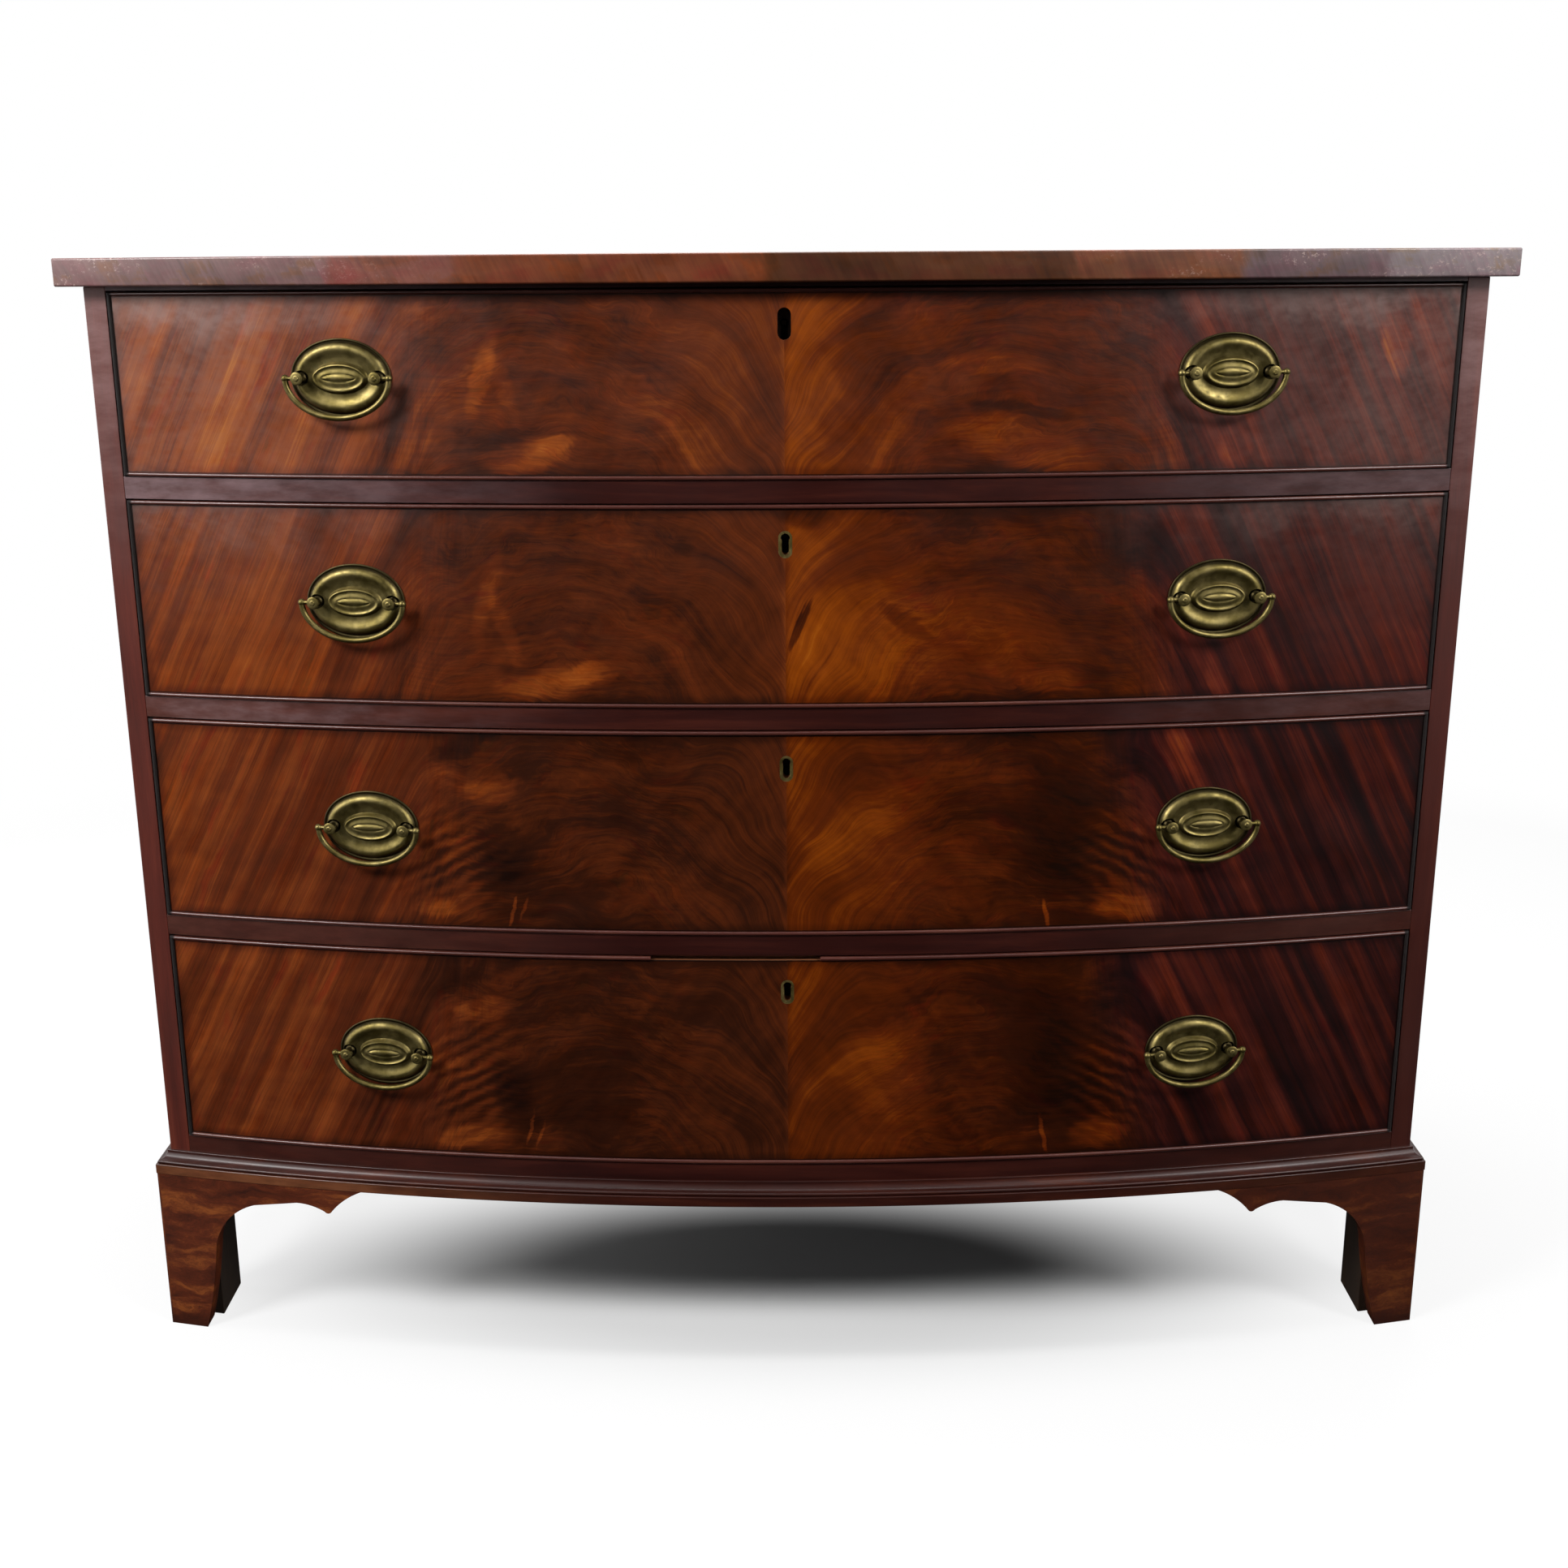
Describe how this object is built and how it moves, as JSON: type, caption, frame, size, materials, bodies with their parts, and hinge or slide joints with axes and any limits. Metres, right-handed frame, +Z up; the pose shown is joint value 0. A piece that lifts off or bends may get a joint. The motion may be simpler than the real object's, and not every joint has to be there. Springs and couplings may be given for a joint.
{
  "type": "bow front chest of drawers",
  "caption": "Bow-fronted chest of graduated long drawers on shaped bracket feet, with cockbeaded veneered fronts, swinging oval bail handles and sliding lock bolts.",
  "frame": {"origin": "on the floor under the middle of the overall box", "axes": "+Z up; the bowed front faces -Y; +X runs along the width, to the right of someone facing the front"},
  "size_m": [1.086, 0.5349, 0.889],
  "materials": {
    "flame_veneer": "french polished flame mahogany veneer",
    "mahogany": "polished mahogany",
    "oak": "plain aged oak",
    "pine": "plain aged pine",
    "brass": "aged lacquered brass",
    "iron": "dull iron screws"
  },
  "bodies": {
    "root": {"top_board": "mahogany", "top_frame": "pine", "top_screws": "iron", "side_left": "mahogany", "side_right": "mahogany", "case_bottom": "pine", "drawer_rail_1": "mahogany", "drawer_rail_2": "mahogany", "drawer_rail_3": "mahogany", "bottom_rail": "mahogany", "drawer_runners": "pine", "dust_boards": "pine", "drawer_stops": "oak", "back_boards": "pine", "base_moulding": "mahogany", "foot_front_left": "mahogany", "foot_front_right": "mahogany", "foot_back_left": "mahogany", "foot_back_right": "mahogany", "glue_blocks": "pine"},
    "drawer_1": {"drawer_1_front": "pine", "drawer_1_veneer_and_beads": "flame_veneer", "drawer_1_sides": "oak", "drawer_1_back": "oak", "drawer_1_bottom": "oak", "drawer_1_lock": "brass", "drawer_1_handle_mounts": "brass"},
    "drawer_1_lock_bolt": {"drawer_1_lock_bolt": "brass"},
    "drawer_1_bail_left": {"drawer_1_bail_left": "brass"},
    "drawer_1_bail_right": {"drawer_1_bail_right": "brass"},
    "drawer_2": {"drawer_2_front": "pine", "drawer_2_veneer_and_beads": "flame_veneer", "drawer_2_sides": "oak", "drawer_2_back": "oak", "drawer_2_bottom": "oak", "drawer_2_lock": "brass", "drawer_2_handle_mounts": "brass"},
    "drawer_2_lock_bolt": {"drawer_2_lock_bolt": "brass"},
    "drawer_2_bail_left": {"drawer_2_bail_left": "brass"},
    "drawer_2_bail_right": {"drawer_2_bail_right": "brass"},
    "drawer_3": {"drawer_3_front": "pine", "drawer_3_veneer_and_beads": "flame_veneer", "drawer_3_sides": "oak", "drawer_3_back": "oak", "drawer_3_bottom": "oak", "drawer_3_lock": "brass", "drawer_3_handle_mounts": "brass"},
    "drawer_3_lock_bolt": {"drawer_3_lock_bolt": "brass"},
    "drawer_3_bail_left": {"drawer_3_bail_left": "brass"},
    "drawer_3_bail_right": {"drawer_3_bail_right": "brass"},
    "drawer_4": {"drawer_4_front": "pine", "drawer_4_veneer_and_beads": "flame_veneer", "drawer_4_sides": "oak", "drawer_4_back": "oak", "drawer_4_bottom": "oak", "drawer_4_lock": "brass", "drawer_4_handle_mounts": "brass"},
    "drawer_4_lock_bolt": {"drawer_4_lock_bolt": "brass"},
    "drawer_4_bail_left": {"drawer_4_bail_left": "brass"},
    "drawer_4_bail_right": {"drawer_4_bail_right": "brass"}
  },
  "joints": [
    {"name": "drawer_1_slide", "type": "slide", "parent": "root", "child": "drawer_1", "axis": [0, -1, 0], "range_m": [0, 0.38]},
    {"name": "drawer_1_lock_throw", "type": "slide", "parent": "drawer_1", "child": "drawer_1_lock_bolt", "axis": [0, 0, 1], "range_m": [0, 0.0065]},
    {"name": "drawer_1_bail_left_swing", "type": "hinge", "parent": "drawer_1", "child": "drawer_1_bail_left", "pos_m": [-0.32825, -0.23983, 0.8024], "axis": [-0.9901, 0.1405, 0], "range_deg": [-10, 190]},
    {"name": "drawer_1_bail_right_swing", "type": "hinge", "parent": "drawer_1", "child": "drawer_1_bail_right", "pos_m": [0.32825, -0.23983, 0.8024], "axis": [-0.9901, -0.1405, 0], "range_deg": [-10, 190]},
    {"name": "drawer_2_slide", "type": "slide", "parent": "root", "child": "drawer_2", "axis": [0, -1, 0], "range_m": [0, 0.38]},
    {"name": "drawer_2_lock_throw", "type": "slide", "parent": "drawer_2", "child": "drawer_2_lock_bolt", "axis": [0, 0, 1], "range_m": [0, 0.0065]},
    {"name": "drawer_2_bail_left_swing", "type": "hinge", "parent": "drawer_2", "child": "drawer_2_bail_left", "pos_m": [-0.32825, -0.23983, 0.63615], "axis": [-0.9901, 0.1405, 0], "range_deg": [-10, 190]},
    {"name": "drawer_2_bail_right_swing", "type": "hinge", "parent": "drawer_2", "child": "drawer_2_bail_right", "pos_m": [0.32825, -0.23983, 0.63615], "axis": [-0.9901, -0.1405, 0], "range_deg": [-10, 190]},
    {"name": "drawer_3_slide", "type": "slide", "parent": "root", "child": "drawer_3", "axis": [0, -1, 0], "range_m": [0, 0.38]},
    {"name": "drawer_3_lock_throw", "type": "slide", "parent": "drawer_3", "child": "drawer_3_lock_bolt", "axis": [0, 0, 1], "range_m": [0, 0.0065]},
    {"name": "drawer_3_bail_left_swing", "type": "hinge", "parent": "drawer_3", "child": "drawer_3_bail_left", "pos_m": [-0.32825, -0.23983, 0.45765], "axis": [-0.9901, 0.1405, 0], "range_deg": [-10, 190]},
    {"name": "drawer_3_bail_right_swing", "type": "hinge", "parent": "drawer_3", "child": "drawer_3_bail_right", "pos_m": [0.32825, -0.23983, 0.45765], "axis": [-0.9901, -0.1405, 0], "range_deg": [-10, 190]},
    {"name": "drawer_4_slide", "type": "slide", "parent": "root", "child": "drawer_4", "axis": [0, -1, 0], "range_m": [0, 0.38]},
    {"name": "drawer_4_lock_throw", "type": "slide", "parent": "drawer_4", "child": "drawer_4_lock_bolt", "axis": [0, 0, 1], "range_m": [0, 0.0065]},
    {"name": "drawer_4_bail_left_swing", "type": "hinge", "parent": "drawer_4", "child": "drawer_4_bail_left", "pos_m": [-0.32825, -0.23983, 0.26665], "axis": [-0.9901, 0.1405, 0], "range_deg": [-10, 190]},
    {"name": "drawer_4_bail_right_swing", "type": "hinge", "parent": "drawer_4", "child": "drawer_4_bail_right", "pos_m": [0.32825, -0.23983, 0.26665], "axis": [-0.9901, -0.1405, 0], "range_deg": [-10, 190]}
  ]
}
